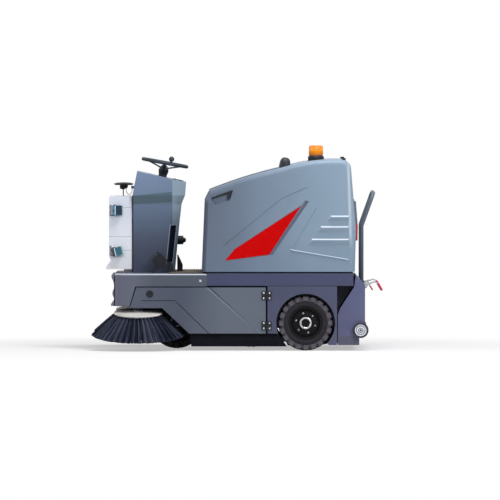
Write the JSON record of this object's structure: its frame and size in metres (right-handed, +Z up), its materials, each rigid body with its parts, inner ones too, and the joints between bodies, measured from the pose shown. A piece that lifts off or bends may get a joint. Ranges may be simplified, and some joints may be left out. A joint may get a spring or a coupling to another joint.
{
  "type": "ride-on floor sweeper with a driverless kit",
  "caption": "Battery ride-on floor sweeper with steering wheel, seat under a tilting hood, front side brushes, main broom, wheeled rear hopper, cameras and antenna for driverless work.",
  "frame": {"origin": "on the ground, at the middle of the machine's length and width", "axes": "+X forward along the machine, +Y to the driver's left, +Z up"},
  "size_m": [2.13, 1.6254, 1.4902],
  "materials": {
    "hood_paint": "satin blue grey",
    "body_paint": "satin slate blue",
    "door_paint": "satin slate grey",
    "white_plastic": "satin white",
    "accent_red": "gloss red",
    "black_plastic": "fine grain",
    "chassis_black": "black powder coat",
    "platform_mat": "ribbed",
    "skirt_rubber": "matt",
    "tyre_rubber": "matt, moulded lugs",
    "rim_steel": "black enamel",
    "zinc_steel": "zinc plated",
    "bristle_nylon": "round filaments",
    "disc_plastic": "pale grey",
    "seat_vinyl": "grained vinyl",
    "lens_amber": "translucent amber",
    "lamp_red": "translucent red",
    "grip_black": "soft grain",
    "camera_blue": "tinted window",
    "handle_paint": "satin dark grey",
    "wheel_grey": "grey nylon",
    "battery_case": "ribbed case",
    "lead_black": "smooth jacket"
  },
  "bodies": {
    "chassis": {"sill_frame": "body_paint", "chassis_frame": "chassis_black", "front_shell": "body_paint", "front_bumper": "door_paint", "platform_deck": "platform_mat", "fenders": "body_paint", "rubber_skirts": "skirt_rubber", "battery_pack": "battery_case", "broom_housing": "chassis_black", "hinge_leaves": "black_plastic", "steering_tower": "hood_paint", "instrument_panel": "black_plastic", "steering_column": "black_plastic", "pedals": "black_plastic", "charge_socket": "black_plastic", "sensor_housing": "white_plastic", "corner_cameras": "camera_blue", "antenna": "black_plastic", "antenna_lead": "lead_black"},
    "hood": {"hood_shell": "hood_paint", "hood_hinges": "zinc_steel", "accent_panels": "accent_red", "hood_grips": "black_plastic", "seat_cushion": "seat_vinyl", "seat_back": "seat_vinyl", "beacon_base": "black_plastic", "beacon_lens": "lens_amber", "tail_lamps": "lamp_red"},
    "steering_wheel": {"steering_wheel": "grip_black"},
    "front_fork": {"front_fork": "chassis_black"},
    "front_wheel": {"front_tyre": "tyre_rubber", "front_rim": "rim_steel"},
    "main_broom": {"main_broom": "bristle_nylon"},
    "hopper": {"hopper_bin": "body_paint", "hopper_handle": "handle_paint", "toggle_clamps": "zinc_steel"},
    "rear_wheel_left": {"rear_tyre_left": "tyre_rubber", "rear_rim_left": "rim_steel"},
    "door_left": {"side_door_left": "door_paint", "door_fittings_left": "black_plastic"},
    "brush_arm_left": {"brush_arm_left": "chassis_black"},
    "side_brush_left": {"brush_disc_left": "disc_plastic", "brush_bristles_left": "bristle_nylon"},
    "hopper_caster_left": {"hopper_wheel_left": "wheel_grey"},
    "rear_wheel_right": {"rear_tyre_right": "tyre_rubber", "rear_rim_right": "rim_steel"},
    "door_right": {"side_door_right": "door_paint", "door_fittings_right": "black_plastic"},
    "brush_arm_right": {"brush_arm_right": "chassis_black"},
    "side_brush_right": {"brush_disc_right": "disc_plastic", "brush_bristles_right": "bristle_nylon"},
    "hopper_caster_right": {"hopper_wheel_right": "wheel_grey"}
  },
  "joints": [
    {"name": "steer", "type": "hinge", "parent": "chassis", "child": "front_fork", "pos_m": [0.44, 0, 0.45], "axis": [0, 0, 1], "range_deg": [-30, 30]},
    {"name": "front_wheel_spin", "type": "hinge", "parent": "front_fork", "child": "front_wheel", "pos_m": [0.44, 0, 0.2], "axis": [0, 1, 0], "continuous": true},
    {"name": "steering_wheel_turn", "type": "hinge", "parent": "chassis", "child": "steering_wheel", "pos_m": [0.527, 0, 1.361], "axis": [-0.1822, 0, 0.9833], "range_deg": [-180, 180]},
    {"name": "broom_spin", "type": "hinge", "parent": "chassis", "child": "main_broom", "pos_m": [-0.105, 0, 0.165], "axis": [0, 1, 0], "continuous": true},
    {"name": "hood_tilt", "type": "hinge", "parent": "chassis", "child": "hood", "pos_m": [-0.3, -0.584, 0.57], "axis": [1, 0, 0], "range_deg": [0, 60]},
    {"name": "hopper_slide", "type": "slide", "parent": "chassis", "child": "hopper", "axis": [-1, 0, 0], "range_m": [0, 0.65]},
    {"name": "rear_wheel_left_spin", "type": "hinge", "parent": "chassis", "child": "rear_wheel_left", "pos_m": [-0.502, 0.512, 0.2], "axis": [0, 1, 0], "continuous": true},
    {"name": "door_left_swing", "type": "hinge", "parent": "chassis", "child": "door_left", "pos_m": [-0.218, 0.584, 0.29], "axis": [0, 0, 1], "range_deg": [0, 100]},
    {"name": "brush_arm_left_lift", "type": "hinge", "parent": "chassis", "child": "brush_arm_left", "pos_m": [0.43, 0.49, 0.345], "axis": [0, 1, 0], "range_deg": [0, 7]},
    {"name": "side_brush_left_spin", "type": "hinge", "parent": "brush_arm_left", "child": "side_brush_left", "pos_m": [0.718, 0.49, 0.262], "axis": [0, 0.1392, 0.9903], "continuous": true},
    {"name": "hopper_caster_left_spin", "type": "hinge", "parent": "hopper", "child": "hopper_caster_left", "pos_m": [-0.902, 0.596, 0.15], "axis": [0, 1, 0], "continuous": true},
    {"name": "rear_wheel_right_spin", "type": "hinge", "parent": "chassis", "child": "rear_wheel_right", "pos_m": [-0.502, -0.512, 0.2], "axis": [0, 1, 0], "continuous": true},
    {"name": "door_right_swing", "type": "hinge", "parent": "chassis", "child": "door_right", "pos_m": [-0.218, -0.584, 0.29], "axis": [0, 0, -1], "range_deg": [0, 100]},
    {"name": "brush_arm_right_lift", "type": "hinge", "parent": "chassis", "child": "brush_arm_right", "pos_m": [0.43, -0.49, 0.345], "axis": [0, 1, 0], "range_deg": [0, 7]},
    {"name": "side_brush_right_spin", "type": "hinge", "parent": "brush_arm_right", "child": "side_brush_right", "pos_m": [0.718, -0.49, 0.262], "axis": [0, -0.1392, 0.9903], "continuous": true},
    {"name": "hopper_caster_right_spin", "type": "hinge", "parent": "hopper", "child": "hopper_caster_right", "pos_m": [-0.902, -0.596, 0.15], "axis": [0, 1, 0], "continuous": true}
  ],
  "couplings": [
    {"joint": "steering_wheel_turn", "follows": "steer", "ratio": 4.5}
  ]
}
